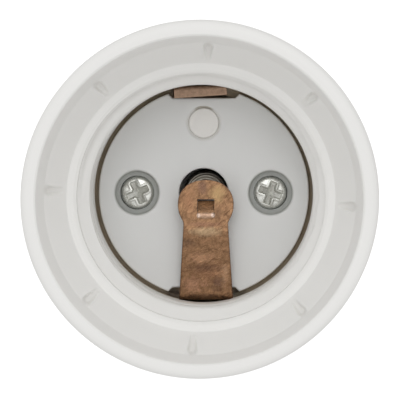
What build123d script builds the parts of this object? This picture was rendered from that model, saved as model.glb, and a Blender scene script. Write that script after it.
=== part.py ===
from build123d import *
import math
import os

# A lamp socket adapter: a large screw socket in a moulded housing, standing on a small screw base.
# Sizes are in millimetres. +Z points out of the mouth. z = 0 is the seat where the screw shell
# meets the housing. The contact strip comes up on the -Y side, the side contact on the +Y side.

os.makedirs("parts", exist_ok=True)

# Socket thread, a rounded groove cut in the bore
socket_pitch = 6.35
socket_major_r = 19.8
socket_thread_depth = 1.75
socket_crest_cut = 0.15
socket_thread_rise = 5.5
groove_sunk = 0.9
lead_in_slope = 1.0

# Mouth, from the thread outwards and up to the rim
entry_gap = 0.2
entry_length = 2.2
entry_round = 0.4
ledge_edge = 0.5
ledge_drop = 0.45
ledge_width = 1.1
funnel_width = 3.3
funnel_depth = 6.3
step_width = 1.05
step_depth = 6.2
step_round = 1.2
rim_inner_round = 0.3
rim_width = 2.35
rim_round = 1.2
pocket_count = 8
pocket_turn = -3.0
pocket_nose_turn = 75.0
pocket_inset = 0.3
pocket_width = 1.6
pocket_sink = 1.9

# Housing, outside
band_height = 9.0
band_draft = 0.3
flare_height = 8.0
flare_round = 5.0
wall = 2.5
body_draft = 0.8
shoulder_round = 4.0
neck_shelf = 2.44
neck_height = 2.5
neck_round = 2.0

# Contact chamber below the thread
plate_depth = 36.0
plate_thickness = 3.0
plate_gap = 0.65
plate_edge = 0.3
plate_seat = 1.0
chamber_height = 10.0
floor_thickness = 3.0
base_height = 8.0

# Screw base: thin shell on the housing's boss, closed by an insulator with a pressed-in pin
shell_pitch = 3.629
shell_turns = 4.63
shell_major_r = 13.1
shell_thread_depth = 1.05
shell_root_cut = 0.15
shell_skirt_extra = 0.06
shell_sheet = 0.35
shell_skirt = 3.4
shell_end_taper = 1.1
shell_end_height = 1.4
shell_run_out = 2.6
thread_sunk = 0.45
boss_clearance = 2.4
boss_wall = 2.2
boss_gap = 0.1
insulator_depth = 3.6
insulator_wall = 1.5
insulator_rim = 1.6
insulator_gap = 0.1
hub_wall = 1.5
hub_height = 4.6
pin_land = 0.8
pin_head_r = 4.8
pin_head_height = 1.3
pin_head_edge = 0.4
pin_shank_r = 1.3
pin_gap = 0.03
pin_proud = 0.9

# Plate fixings
screw_inset = 6.5
counterbore_shift = 0.15
counterbore_land = 0.76
counterbore_depth = 1.1
head_gap = 0.36
head_recess_depth = 0.9
head_r = 2.6
head_height = 1.55
head_edge = 0.5
shank_r = 1.4
shank_length = 9.0
shank_gap = 0.05
shank_clearance = 0.4
pilot_extra = 0.6
screw_boss_land = 1.3
cross_margin = 0.45
cross_width = 0.8
cross_depth = 1.0
left_cross_turn = 25.0
right_cross_turn = -20.0
peg_inset = 4.15
peg_r = 2.45
peg_gap = 0.1
peg_sink = 0.15

# Centre contact, pressed from copper strip
strip_sheet = 0.5
strip_x = 0.4
pad_r = 4.55
pad_y = -1.7
pad_rise = 3.0
neck_half = 3.65
neck_fillet = 0.8
root_half = 4.45
crease_y = -6.0
crease_r = 3.0
root_rise = 0.3
leg_gap = 1.5
bend_r = 0.9
foot_length = 4.45
foot_solder_inset = 2.85
window_x = 2.8
window_y = 3.2
window_shift = 2.45
tab_bend_shift = 0.8
tab_lean = 1.35
tab_drop = 1.5
tab_bend_r = 1.2
tab_gap = 0.1
notch_depth = 1.7
notch_side_gap = 0.75
leg_slot_cut = 0.75
leg_slot_side_gap = 0.4
leg_slot_rise = 1.4

# Coil spring under the pad, standing in a cup on the chamber floor
spring_r = 3.2
spring_wire_r = 0.3
spring_turns = 5.5
spring_x = 0.3
spring_y = -0.1
spring_hole_gap = 0.24
cup_gap = 0.3
cup_wall = 1.0
cup_height = 2.0

# Side contact, a strip standing in a slot on the chamber floor with its end turned in
side_half = 4.2
side_x = -0.4
side_lip = 1.8
side_rise = 0.9
side_turn = 3.0
side_bend_r = 0.45
side_root_gap = 0.1
slot_depth = 3.4
slot_gap = 0.15
slot_wall = 1.6

# Leads and their soldered joints
lead_r = 0.8
wire_hole_gap = 0.6
wire_hole_inset = 1.85
tip_hole_angle = -87.0
side_hole_angle = 128.0
solder_r = 1.3
solder_height = 0.9
solder_taper = 20.0
side_solder_rise = 5.8
side_solder_x = -2.8
shell_solder_turns = 0.5
lead_bend = 2.0
lead_wide_bend = 7.0
lead_drop = 3.6
side_run = 2.2

# How far a cut runs past the face that it opens
cut_overrun = 1.0

# Levels, from the seat up to the rim and down to the tip
floor_low_z = base_height
floor_z = floor_low_z + floor_thickness
plate_low_z = floor_z + chamber_height
plate_z = plate_low_z + plate_thickness
rim_z = plate_z + plate_depth
ledge_depth = step_depth + funnel_depth
band_low_z = rim_z - band_height
flare_low_z = band_low_z - flare_height
entry_top_z = rim_z - ledge_depth - ledge_drop
entry_low_z = entry_top_z - entry_length
thread_start_z = plate_z + socket_thread_rise
pad_low_z = plate_z + pad_rise
pad_mid_z = pad_low_z + strip_sheet / 2
side_solder_z = floor_z + side_solder_rise
shell_thread_height = shell_turns * shell_pitch
shell_run_z = -shell_skirt - shell_thread_height
shell_thread_z = shell_run_z + shell_pitch / 4
shell_length = shell_end_height - shell_run_z
shell_solder_z = shell_thread_z + shell_pitch * (side_hole_angle / 360 + shell_solder_turns)
boss_low_z = shell_solder_z + solder_r + boss_clearance
tip_z = -shell_length - insulator_depth

# Radii of the housing, from the thread outwards
bore_r = socket_major_r - socket_thread_depth
entry_r = socket_major_r + entry_gap
ledge_inner_r = entry_r + ledge_edge
ledge_outer_r = ledge_inner_r + ledge_width
step_foot_r = ledge_outer_r + funnel_width
rim_inner_r = step_foot_r + step_width
mouth_r = rim_inner_r + rim_width + band_draft
body_low_r = socket_major_r + wall
body_top_r = body_low_r + body_draft
pocket_outer_r = step_foot_r
pocket_inner_r = ledge_outer_r + pocket_inset

# Radii of the screw base, from its thread inwards
shell_minor_r = shell_major_r - shell_thread_depth
skirt_r = shell_major_r + shell_skirt_extra
neck_r = skirt_r + neck_shelf
shell_root_r = shell_minor_r + shell_root_cut
shell_inner_r = shell_root_r - shell_sheet
shell_end_r = shell_root_r - shell_end_taper
boss_r = shell_inner_r - boss_gap
boss_skirt_r = skirt_r - shell_sheet - boss_gap
boss_bore_r = boss_r - boss_wall
insulator_tip_r = pin_head_r + pin_land
hub_r = pin_shank_r + hub_wall

# Places on the plate and round its edge
plate_r = bore_r - plate_gap
chamber_r = plate_r - plate_seat
screw_x = plate_r - screw_inset
counterbore_x = screw_x + counterbore_shift
head_recess_r = head_r + head_gap
counterbore_r = head_recess_r + counterbore_land
clearance_hole_r = shank_r + shank_clearance
screw_boss_r = clearance_hole_r + screw_boss_land
notch_y = plate_r - notch_depth
notch_half = root_half + notch_side_gap
peg_y = notch_y - peg_inset
leg_slot_y = bore_r + leg_slot_cut
leg_slot_half = notch_half + leg_slot_side_gap
slot_half_depth = (leg_slot_y - notch_y + cut_overrun) / 2
root_y = -(notch_y + leg_gap + strip_sheet / 2)
foot_end_y = root_y + foot_length
foot_solder_y = root_y + foot_solder_inset
neck_y = pad_y - math.sqrt(pad_r**2 - neck_half**2)
window_edge_y = pad_y - window_shift
tab_bend_y = window_edge_y + tab_bend_shift
spring_outer_r = spring_r + spring_wire_r
centre_hole_r = math.hypot(spring_x, spring_y) + spring_outer_r + spring_hole_gap
cup_inner_r = spring_outer_r + cup_gap

# Holes in the floor for the leads
wire_hole_r = lead_r + wire_hole_gap
wire_hole_ring_r = boss_bore_r - wire_hole_inset
tip_hole = (
    wire_hole_ring_r * math.cos(math.radians(tip_hole_angle)),
    wire_hole_ring_r * math.sin(math.radians(tip_hole_angle)),
)
side_hole = (
    wire_hole_ring_r * math.cos(math.radians(side_hole_angle)),
    wire_hole_ring_r * math.sin(math.radians(side_hole_angle)),
)

# The side contact and its slot share this frame: x along the strip, y outwards, a little turned
side_frame = Plane(
    origin=(side_x, plate_r, 0),
    x_dir=(math.cos(math.radians(side_turn)), math.sin(math.radians(side_turn)), 0),
    z_dir=(0, 0, 1),
)
side_section = Plane(origin=side_frame.origin, x_dir=side_frame.y_dir, z_dir=side_frame.x_dir)

# The part of each root arc that is left off, so that neighbouring turns don't touch
root_gap_angle = 8.0


def knuckle_section(root_r, crest_r, pitch, start_z, sunk):
    """One turn of a rounded thread in the radius-height plane, with its crest pointing outwards.

    A crest arc stands between two root arcs. They share the radius at which they touch, worked out
    from the depth and the pitch. sunk closes the outline towards the axis.
    """
    depth = crest_r - root_r
    arc_r = (depth**2 + (pitch / 2) ** 2) / (4 * depth)
    crest_x = crest_r - arc_r
    root_x = root_r + arc_r
    half_turn = math.degrees(math.atan2(pitch / 2, root_x - crest_x))
    root_turn = half_turn - root_gap_angle
    axis_plane = Plane(origin=(0, 0, start_z), x_dir=(1, 0, 0), z_dir=(0, -1, 0))
    with BuildSketch(axis_plane) as section:
        with BuildLine():
            CenterArc((crest_x, 0), arc_r, -half_turn, 2 * half_turn)
            high = CenterArc((root_x, pitch / 2), arc_r, 180 + half_turn, -root_turn)
            low = CenterArc((root_x, -pitch / 2), arc_r, 180 - half_turn, root_turn)
            closing_x = (high @ 1).X - sunk
            Polyline(high @ 1, (closing_x, (high @ 1).Y), (closing_x, (low @ 1).Y), low @ 1)
        make_face()
    return section.sketch


# The space of one drop-shaped pocket in the funnel, drawn along the axis and fading inwards
pocket_nose_x = pocket_outer_r - pocket_width / 2
funnel_slope = funnel_depth / funnel_width
pocket_inner_z = rim_z - ledge_depth + funnel_slope * pocket_inset
pocket_outer_z = rim_z - step_depth - pocket_sink
with BuildPart() as pocket_core:
    with BuildSketch(Plane.XY.offset(rim_z - ledge_depth)):
        with BuildLine():
            nose = CenterArc(
                (pocket_nose_x, 0), pocket_width / 2, -pocket_nose_turn, 2 * pocket_nose_turn
            )
            Polyline(nose @ 1, (pocket_inner_r, 0), nose @ 0)
        make_face()
    extrude(amount=ledge_depth)
    with BuildSketch(Plane.XZ):
        with BuildLine():
            Polyline(
                (pocket_inner_r - cut_overrun, pocket_inner_z - funnel_slope * cut_overrun),
                (pocket_inner_r, pocket_inner_z),
                (pocket_outer_r, pocket_outer_z),
                (pocket_outer_r + cut_overrun, pocket_outer_z),
                (pocket_outer_r + cut_overrun, rim_z),
                (pocket_inner_r - cut_overrun, rim_z),
                close=True,
            )
        make_face()
    revolve(axis=Axis.Z, mode=Mode.INTERSECT)

# Housing: one moulding with the mouth, the threaded bore, the contact chamber and the base boss
with BuildPart() as housing:
    with BuildSketch(Plane.XZ):
        with BuildLine():
            outside = FilletPolyline(
                (neck_r, 0),
                (neck_r, neck_height),
                (body_low_r, floor_low_z + neck_height),
                (body_top_r, flare_low_z),
                (mouth_r, band_low_z),
                (mouth_r - band_draft, rim_z),
                (rim_inner_r, rim_z),
                radius=[neck_round, shoulder_round, flare_round, neck_round, rim_round],
            )
            Polyline(
                outside @ 1,
                (0, rim_z),
                (0, boss_low_z),
                (boss_r, boss_low_z),
                (boss_r, -shell_skirt - boss_gap),
                (boss_skirt_r, -shell_skirt + (boss_skirt_r - boss_r) - boss_gap),
                (boss_skirt_r, 0),
                outside @ 0,
            )
        make_face()
    revolve(axis=Axis.Z)

    # The mouth: steep step, funnel, narrow ledge, entry bore and the lead-in of the thread
    with BuildSketch(Plane.XZ):
        with BuildLine():
            step_line = FilletPolyline(
                (rim_inner_r + rim_inner_round, rim_z),
                (rim_inner_r, rim_z - rim_inner_round),
                (step_foot_r, rim_z - step_depth),
                (ledge_outer_r, rim_z - ledge_depth),
                (ledge_inner_r, entry_top_z),
                (entry_r, entry_top_z - entry_round),
                radius=[rim_inner_round / 2, step_round, rim_inner_round, rim_inner_round],
            )
            Polyline(
                step_line @ 1,
                (entry_r, entry_low_z),
                (bore_r, entry_low_z - lead_in_slope * (entry_r - bore_r)),
                (bore_r, plate_low_z),
                (chamber_r, plate_low_z),
                (chamber_r, floor_z),
                (0, floor_z),
                (0, rim_z + cut_overrun),
                (rim_inner_r + rim_inner_round, rim_z + cut_overrun),
                step_line @ 0,
            )
        make_face()
    revolve(axis=Axis.Z, mode=Mode.SUBTRACT)

    # The rounded thread groove runs out through the entry bore
    thread_height = entry_low_z + socket_pitch / 2 - thread_start_z
    sweep(
        sections=knuckle_section(
            bore_r - socket_crest_cut, socket_major_r, socket_pitch, thread_start_z, groove_sunk
        ),
        path=Helix(socket_pitch, thread_height, socket_major_r, center=(0, 0, thread_start_z)),
        is_frenet=True,
        mode=Mode.SUBTRACT,
    )

    # Bosses for the plate screws, the locating peg and the spring cup stand on the chamber floor
    with BuildSketch(Plane.XY.offset(floor_z)):
        with Locations((-screw_x, 0), (screw_x, 0)):
            Circle(screw_boss_r)
    extrude(amount=plate_low_z - floor_z)
    with BuildSketch(Plane.XY.offset(plate_low_z)):
        with Locations((-screw_x, 0), (screw_x, 0)):
            Circle(shank_r + shank_gap)
    extrude(
        amount=counterbore_depth + head_recess_depth - plate_thickness + shank_length + pilot_extra,
        dir=(0, 0, -1),
        mode=Mode.SUBTRACT,
    )
    with BuildSketch(Plane.XY.offset(floor_z)):
        with Locations((0, peg_y)):
            Circle(peg_r)
    extrude(amount=plate_z - peg_sink - floor_z)
    with BuildSketch(Plane.XY.offset(floor_z)):
        with Locations((spring_x, spring_y)):
            Circle(cup_inner_r + cup_wall)
            Circle(cup_inner_r, mode=Mode.SUBTRACT)
    extrude(amount=cup_height)

    # Slots through the shoulder into the chamber wall, for the contact leg and the side contact
    with BuildSketch(Plane.XY.offset(floor_z)):
        with Locations((strip_x, slot_half_depth - leg_slot_y)):
            Rectangle(2 * leg_slot_half, 2 * slot_half_depth)
    extrude(amount=plate_z + leg_slot_rise - floor_z, mode=Mode.SUBTRACT)
    with BuildSketch(side_frame.offset(floor_z)):
        with Locations((0, leg_slot_y - plate_r - slot_half_depth)):
            Rectangle(2 * leg_slot_half, 2 * slot_half_depth)
    extrude(amount=plate_z + leg_slot_rise - floor_z, mode=Mode.SUBTRACT)

    # Two walls on the floor hold the foot of the side contact between them
    with BuildSketch(side_frame.offset(floor_z)):
        with Locations((0, slot_gap + (leg_slot_y - plate_r) / 2)):
            Rectangle(2 * leg_slot_half, leg_slot_y - plate_r)
        with Locations((0, -strip_sheet - slot_gap - slot_wall / 2)):
            Rectangle(2 * side_half, slot_wall)
    extrude(amount=slot_depth)

    # Holes for the leads, and the hollow of the base boss
    with BuildSketch(Plane.XY.offset(floor_z)):
        with Locations(tip_hole, side_hole):
            Circle(wire_hole_r)
    extrude(amount=-floor_thickness, mode=Mode.SUBTRACT)
    with BuildSketch(Plane.XY.offset(boss_low_z)):
        Circle(boss_bore_r)
    extrude(amount=floor_low_z - boss_low_z, mode=Mode.SUBTRACT)

    # The pockets in the funnel
    with PolarLocations(0, pocket_count, start_angle=pocket_turn):
        add(pocket_core.part, mode=Mode.SUBTRACT)
housing.part.label = "housing"
export_step(housing.part, "parts/housing.step")

# Contact plate: a moulded disc that rests on the shoulder and on the two bosses
with BuildPart() as contact_plate:
    with BuildSketch(Plane.XY.offset(plate_low_z)):
        Circle(plate_r)
        with Locations((0, peg_y)):
            Circle(peg_r + peg_gap, mode=Mode.SUBTRACT)
        Circle(centre_hole_r, mode=Mode.SUBTRACT)
        for side in (-1, 1):
            with BuildLine():
                Polyline(
                    (-notch_half, side * notch_y),
                    (notch_half, side * notch_y),
                    (notch_half + notch_depth, side * plate_r),
                    (-notch_half - notch_depth, side * plate_r),
                    close=True,
                )
            make_face(mode=Mode.SUBTRACT)
    extrude(amount=plate_thickness)
    with Locations((-counterbore_x, 0, plate_z), (counterbore_x, 0, plate_z)):
        CounterBoreHole(head_recess_r, counterbore_r, counterbore_depth, counterbore_depth + head_recess_depth)
    with Locations((-counterbore_x, 0, plate_z), (counterbore_x, 0, plate_z)):
        Hole(clearance_hole_r)
    chamfer(contact_plate.faces().sort_by(Axis.Z)[-1].outer_wire().edges(), plate_edge)
contact_plate.part.label = "contact_plate"
export_step(contact_plate.part, "parts/contact_plate.step")

# Plate screws: domed heads with a cross recess, shanks in the bosses
head_low_z = plate_z - counterbore_depth - head_recess_depth
cross_length = 2 * (head_r - cross_margin)


def plate_screw(x, turn):
    """One screw on the line x, with its cross recess turned by an angle."""
    with BuildPart() as screw:
        with BuildSketch(Plane(origin=(x, 0, head_low_z), x_dir=(1, 0, 0), z_dir=(0, -1, 0))):
            with BuildLine():
                dome = TangentArc((0, head_height), (head_r, head_edge), tangent=(1, 0))
                Polyline(
                    dome @ 1,
                    (head_r, 0),
                    (shank_r, 0),
                    (shank_r, shank_r / 2 - shank_length),
                    (shank_r / 2, -shank_length),
                    (0, -shank_length),
                    dome @ 0,
                )
            make_face()
        revolve(axis=Axis((x, 0, 0), (0, 0, 1)))
        with BuildSketch(Plane.XY.offset(head_low_z + head_height)):
            with Locations((x, 0)):
                SlotOverall(cross_length, cross_width, rotation=turn)
                SlotOverall(cross_length, cross_width, rotation=turn + 90)
        extrude(amount=-cross_depth, mode=Mode.SUBTRACT)
    return screw.part


with BuildPart() as plate_screw_left:
    add(plate_screw(-screw_x, left_cross_turn))
plate_screw_left.part.label = "plate_screw_left"
export_step(plate_screw_left.part, "parts/plate_screw_left.step")

with BuildPart() as plate_screw_right:
    add(plate_screw(screw_x, right_cross_turn))
plate_screw_right.part.label = "plate_screw_right"
export_step(plate_screw_right.part, "parts/plate_screw_right.step")

# Centre contact: one pressed strip with a hook under the plate, a raised pad and a lanced tab
root_mid_z = plate_z + root_rise + strip_sheet / 2
foot_mid_z = plate_low_z - strip_sheet / 2
with BuildPart() as centre_contact:
    with BuildSketch(Plane.YZ) as strip_side:
        with BuildLine():
            strip_path = FilletPolyline(
                (pad_y + pad_r + cut_overrun, pad_mid_z),
                (crease_y, pad_mid_z),
                (root_y, root_mid_z),
                (root_y, foot_mid_z),
                (foot_end_y, foot_mid_z),
                radius=[crease_r, bend_r, bend_r],
            )
        trace(line_width=strip_sheet)
    extrude(amount=pad_r + root_half, both=True)
    with BuildSketch(Plane.XY.offset(foot_mid_z - strip_sheet)) as strip_plan:
        with Locations((strip_x, pad_y)):
            Circle(pad_r)
        with BuildLine():
            Polyline(
                (strip_x - neck_half, pad_y),
                (strip_x - neck_half, neck_y),
                (strip_x - root_half, root_y - strip_sheet),
                (strip_x + root_half, root_y - strip_sheet),
                (strip_x + neck_half, neck_y),
                (strip_x + neck_half, pad_y),
                close=True,
            )
        make_face()
        neck_corners = [v for v in strip_plan.vertices() if abs(v.Y - neck_y) < neck_fillet / 2]
        fillet(neck_corners, radius=neck_fillet)
    extrude(amount=pad_mid_z - foot_mid_z + 2 * strip_sheet, mode=Mode.INTERSECT)
    with BuildSketch(Plane.XY.offset(pad_low_z - strip_sheet)):
        with Locations((strip_x, window_edge_y + window_y / 2)):
            Rectangle(window_x, window_y)
    extrude(amount=3 * strip_sheet, mode=Mode.SUBTRACT)
    with BuildSketch(Plane((strip_x - window_x / 2 + tab_gap, 0, 0), x_dir=(0, 1, 0), z_dir=(1, 0, 0))):
        with BuildLine():
            FilletPolyline(
                (window_edge_y - strip_sheet, pad_mid_z),
                (tab_bend_y, pad_mid_z),
                (tab_bend_y + tab_lean, pad_mid_z - tab_drop),
                radius=tab_bend_r,
            )
        trace(line_width=strip_sheet)
    extrude(amount=window_x - 2 * tab_gap)
centre_contact.part.label = "centre_contact"
export_step(centre_contact.part, "parts/centre_contact.step")

# Contact spring: a coil with flat ends between the chamber floor and the pad
spring_height = pad_low_z - floor_z
spring_pitch = spring_height / spring_turns
with BuildPart() as contact_spring:
    with BuildSketch(Plane(origin=(spring_x + spring_r, spring_y, floor_z), x_dir=(1, 0, 0), z_dir=(0, -1, 0))):
        Circle(spring_wire_r)
    sweep(
        path=Helix(spring_pitch, spring_height, spring_r, center=(spring_x, spring_y, floor_z)),
        is_frenet=True,
    )
    with BuildSketch(Plane.XY.offset(floor_z)):
        with Locations((spring_x, spring_y)):
            Circle(spring_r + 2 * spring_wire_r)
    extrude(amount=spring_height, mode=Mode.INTERSECT)
contact_spring.part.label = "contact_spring"
export_step(contact_spring.part, "parts/contact_spring.step")

# Side contact: a strip that stands in its slot and turns in over the plate's notch
side_top_z = plate_z + side_rise
with BuildPart() as side_contact:
    with BuildSketch(side_section):
        with BuildLine():
            FilletPolyline(
                (-strip_sheet / 2, floor_z + side_root_gap),
                (-strip_sheet / 2, side_top_z - strip_sheet / 2),
                (-side_lip, side_top_z - strip_sheet / 2),
                radius=side_bend_r,
            )
        trace(line_width=strip_sheet)
    extrude(amount=side_half, both=True)
side_contact.part.label = "side_contact"
export_step(side_contact.part, "parts/side_contact.step")

# Screw shell: thin sheet with a plain skirt, a rounded thread and a turned-in end
shell_end_slope = shell_end_taper / (shell_end_height + shell_sheet / 2)


def shell_body(inset, overrun):
    """The shell's plain body without its thread, made smaller by inset and longer by overrun."""
    with BuildPart() as body:
        with BuildSketch(Plane.XZ):
            with BuildLine():
                Polyline(
                    (0, overrun),
                    (skirt_r - inset, overrun),
                    (skirt_r - inset, -shell_skirt + inset),
                    (shell_root_r - inset, -shell_skirt - (skirt_r - shell_root_r) + inset),
                    (shell_root_r - inset, shell_run_z + inset / 2),
                    (shell_end_r - inset - shell_end_slope * overrun, -shell_length - overrun),
                    (0, -shell_length - overrun),
                    close=True,
                )
            make_face()
        revolve(axis=Axis.Z)
    return body.part


with BuildPart() as shell_thread:
    sweep(
        sections=knuckle_section(shell_minor_r, shell_major_r, shell_pitch, shell_thread_z, thread_sunk),
        path=Helix(shell_pitch, shell_thread_height, shell_major_r, center=(0, 0, shell_thread_z)),
        is_frenet=True,
    )

    # The turns are cut off by a cone towards the end, so that the thread runs out
    with BuildSketch(Plane.XZ):
        with BuildLine():
            Polyline(
                (boss_bore_r, 0),
                (skirt_r + cut_overrun, 0),
                (skirt_r + cut_overrun, shell_run_z + shell_run_out),
                (shell_minor_r, shell_run_z),
                (boss_bore_r, shell_run_z),
                close=True,
            )
        make_face()
    revolve(axis=Axis.Z, mode=Mode.INTERSECT)

with BuildPart() as screw_shell:
    add(shell_body(0, 0))
    add(shell_thread.part)
    add(shell_body(shell_sheet, cut_overrun), mode=Mode.SUBTRACT)
screw_shell.part.label = "screw_shell"
export_step(screw_shell.part, "parts/screw_shell.step")

# Base insulator: a moulded cone held by the shell's turned-in end, with a hub for the contact pin
seat_r = shell_inner_r - insulator_gap
end_seat_r = shell_end_r - shell_sheet - insulator_gap
with BuildPart() as base_insulator:
    with BuildSketch(Plane.XZ):
        with BuildLine():
            Polyline(
                (pin_shank_r + pin_gap, tip_z),
                (insulator_tip_r, tip_z),
                (end_seat_r, -shell_length),
                (seat_r, shell_run_z + insulator_gap),
                (seat_r, shell_run_z + insulator_rim),
                (seat_r - insulator_wall, shell_run_z + insulator_rim),
                (end_seat_r - insulator_wall, -shell_length + insulator_wall / 2),
                (hub_r, tip_z + insulator_wall),
                (hub_r, tip_z + hub_height),
                (pin_shank_r + pin_gap, tip_z + hub_height),
                close=True,
            )
        make_face()
    revolve(axis=Axis.Z)
base_insulator.part.label = "base_insulator"
export_step(base_insulator.part, "parts/base_insulator.step")

# Tip contact: a headed pin pressed into the hub, with a domed head
pin_top_z = tip_z + hub_height + pin_proud
with BuildPart() as tip_contact:
    with BuildSketch(Plane.XZ):
        with BuildLine():
            button = TangentArc(
                (0, tip_z - pin_head_height), (pin_head_r, tip_z - pin_head_edge), tangent=(1, 0)
            )
            Polyline(
                button @ 1,
                (pin_head_r, tip_z),
                (pin_shank_r, tip_z),
                (pin_shank_r, pin_top_z),
                (0, pin_top_z),
                button @ 0,
            )
        make_face()
    revolve(axis=Axis.Z)
tip_contact.part.label = "tip_contact"
export_step(tip_contact.part, "parts/tip_contact.step")


def solder_dome(plane):
    """A rounded blob of solder standing on a plane."""
    with BuildPart() as dome:
        with BuildSketch(plane):
            Circle(solder_r)
        extrude(amount=solder_height, taper=solder_taper)
    return dome.part


def lead(points, radii, start_dir):
    """An insulated wire along straight runs joined by arcs."""
    with BuildPart() as wire:
        with BuildLine() as route:
            FilletPolyline(*points, radius=radii)
        with BuildSketch(Plane(origin=points[0], z_dir=start_dir)):
            Circle(lead_r)
        sweep(path=route.wires()[0])
    return wire.part


# Solder joints: on the contact's foot, on the side contact and inside the shell
foot_face = Plane(
    origin=(strip_x, foot_solder_y, foot_mid_z - strip_sheet / 2), x_dir=(1, 0, 0), z_dir=(0, 0, -1)
)
with BuildPart() as centre_solder:
    add(solder_dome(foot_face))
centre_solder.part.label = "centre_solder"
export_step(centre_solder.part, "parts/centre_solder.step")

side_face = Plane(
    origin=side_frame.origin
    + side_frame.x_dir * side_solder_x
    - side_frame.y_dir * strip_sheet
    + Vector(0, 0, side_solder_z),
    x_dir=side_frame.x_dir,
    z_dir=-side_frame.y_dir,
)
with BuildPart() as side_solder:
    add(solder_dome(side_face))
side_solder.part.label = "side_solder"
export_step(side_solder.part, "parts/side_solder.step")

shell_seat_r = math.sqrt(shell_inner_r**2 - solder_r**2)
inward = Vector(-side_hole[0], -side_hole[1], 0).normalized()
shell_face = Plane(
    origin=inward * -shell_seat_r + Vector(0, 0, shell_solder_z), x_dir=(0, 0, 1), z_dir=inward
)
with BuildPart() as shell_solder:
    add(solder_dome(shell_face))
shell_solder.part.label = "shell_solder"
export_step(shell_solder.part, "parts/shell_solder.step")

# Tip lead, from the contact's foot through the floor to the pin
tip_start = foot_face.origin - Vector(0, 0, solder_height)
tip_points = [
    tip_start,
    Vector(tip_start.X, tip_start.Y, tip_start.Z - lead_drop),
    Vector(tip_hole[0], tip_hole[1], floor_z + wire_hole_r),
    Vector(tip_hole[0], tip_hole[1], floor_low_z - lead_wide_bend),
    Vector(0, 0, pin_top_z + lead_wide_bend),
    Vector(0, 0, pin_top_z),
]
with BuildPart() as tip_lead:
    add(lead(tip_points, [lead_bend, lead_bend, lead_wide_bend, lead_wide_bend], (0, 0, -1)))
tip_lead.part.label = "tip_lead"
export_step(tip_lead.part, "parts/tip_lead.step")

# Shell lead, from the side contact through the floor to the inside of the shell
shell_start = side_face.origin + side_face.z_dir * solder_height
shell_end = shell_face.origin + shell_face.z_dir * solder_height
shell_points = [
    shell_start,
    shell_start + side_face.z_dir * side_run,
    Vector(side_hole[0], side_hole[1], side_solder_z),
    Vector(side_hole[0], side_hole[1], shell_solder_z),
    shell_end,
]
with BuildPart() as shell_lead:
    add(lead(shell_points, [lead_bend, lead_bend, lead_bend], side_face.z_dir))
shell_lead.part.label = "shell_lead"
export_step(shell_lead.part, "parts/shell_lead.step")
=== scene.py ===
import bmesh
import bpy
import math
import numpy as np
from mathutils import Matrix, Vector


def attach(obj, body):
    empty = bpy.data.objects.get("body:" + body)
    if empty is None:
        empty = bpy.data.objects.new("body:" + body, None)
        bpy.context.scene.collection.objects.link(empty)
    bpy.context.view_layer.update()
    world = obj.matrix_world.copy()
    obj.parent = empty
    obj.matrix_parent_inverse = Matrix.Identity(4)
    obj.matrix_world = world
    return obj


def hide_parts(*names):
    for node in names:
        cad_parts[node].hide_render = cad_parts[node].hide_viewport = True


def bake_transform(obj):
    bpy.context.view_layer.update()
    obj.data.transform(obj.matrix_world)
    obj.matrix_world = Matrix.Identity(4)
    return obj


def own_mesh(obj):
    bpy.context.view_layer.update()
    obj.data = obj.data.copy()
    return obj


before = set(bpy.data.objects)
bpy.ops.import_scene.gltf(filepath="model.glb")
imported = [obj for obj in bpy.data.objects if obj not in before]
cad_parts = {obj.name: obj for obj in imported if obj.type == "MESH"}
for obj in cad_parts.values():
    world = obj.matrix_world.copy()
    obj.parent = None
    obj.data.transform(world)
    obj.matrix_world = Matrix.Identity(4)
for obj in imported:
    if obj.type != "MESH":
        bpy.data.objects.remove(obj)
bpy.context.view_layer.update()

# The camera looks down into the mouth from about three quarters of a metre, a little from the
# side-contact side and the right. The aim is the point of the rim's plane in the picture's middle.
MM = 0.001
RIM_Z = 60.0
picture_px = 400
focal_px = 4756.0
sensor_mm = 36.0
CAMERA_AWAY = 751.0
aim = Vector((0.14, 0.05, RIM_Z)) * MM
towards_camera = Vector((0.0211, 0.0345, 1.0)).normalized()
camera_data = bpy.data.cameras.new("camera")
camera_data.sensor_width = sensor_mm
camera_data.lens = focal_px * sensor_mm / picture_px
camera = bpy.data.objects.new("camera", camera_data)
bpy.context.scene.collection.objects.link(camera)
camera_right = Vector((0.0, 1.0, 0.0)).cross(towards_camera).normalized()
camera_up = towards_camera.cross(camera_right)
turned = Matrix((camera_right, camera_up, towards_camera)).transposed().to_4x4()
camera.matrix_world = Matrix.Translation(aim + towards_camera * CAMERA_AWAY * MM) @ turned
bpy.context.scene.camera = camera


# Housing: one white thermoset moulding. The funnel of the mouth has eight drop-shaped pockets, and
# below it the bore carries a rounded right-handed thread down to the contact chamber.
SOCKET_PITCH = 6.35
SOCKET_CREST = 18.05
SOCKET_ROOT = 19.8
SOCKET_START = 29.5
SOCKET_UNDERCUT = 0.15
SOCKET_RUN_IN = 0.12
ENTRY_R = 20.0
ENTRY_LOW = 44.85
FLOOR_Z = 11.0
SEAT_Z = 21.0
CHAMBER_R = 16.4
GAP_Z = 21.5
PLATE_R = 17.4
SLOT_TOP = 25.4
SLOT_BACK = 18.8
SLOT_HALF = 4.75
SIDE_SLOT_EXTRA = 0.25
STRIP_X = 0.4
SIDE_X = -0.4
SIDE_Y = 17.4
SIDE_TURN = math.radians(3.0)
FUNNEL_LOW = (21.6, 47.5)
FUNNEL_BREAK = (22.9, 49.98)
FUNNEL_TOP = (24.9, 53.8)
FUNNEL_END_Z = 55.6
POCKET_TURN = -3.0
POCKET_COUNT = 8
POCKET_OUT = 24.9
POCKET_IN = 21.9
POCKET_HALF_OUT = 0.72
POCKET_HALF_IN = 0.46
POCKET_EDGE = 0.5
POCKET_DEPTH = 2.3
PEG_Y = 11.55
PEG_TOP = 23.85
PEG_R = 2.47
SCREW_X = 11.0
SCREW_BORE_R = 1.45
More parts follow.
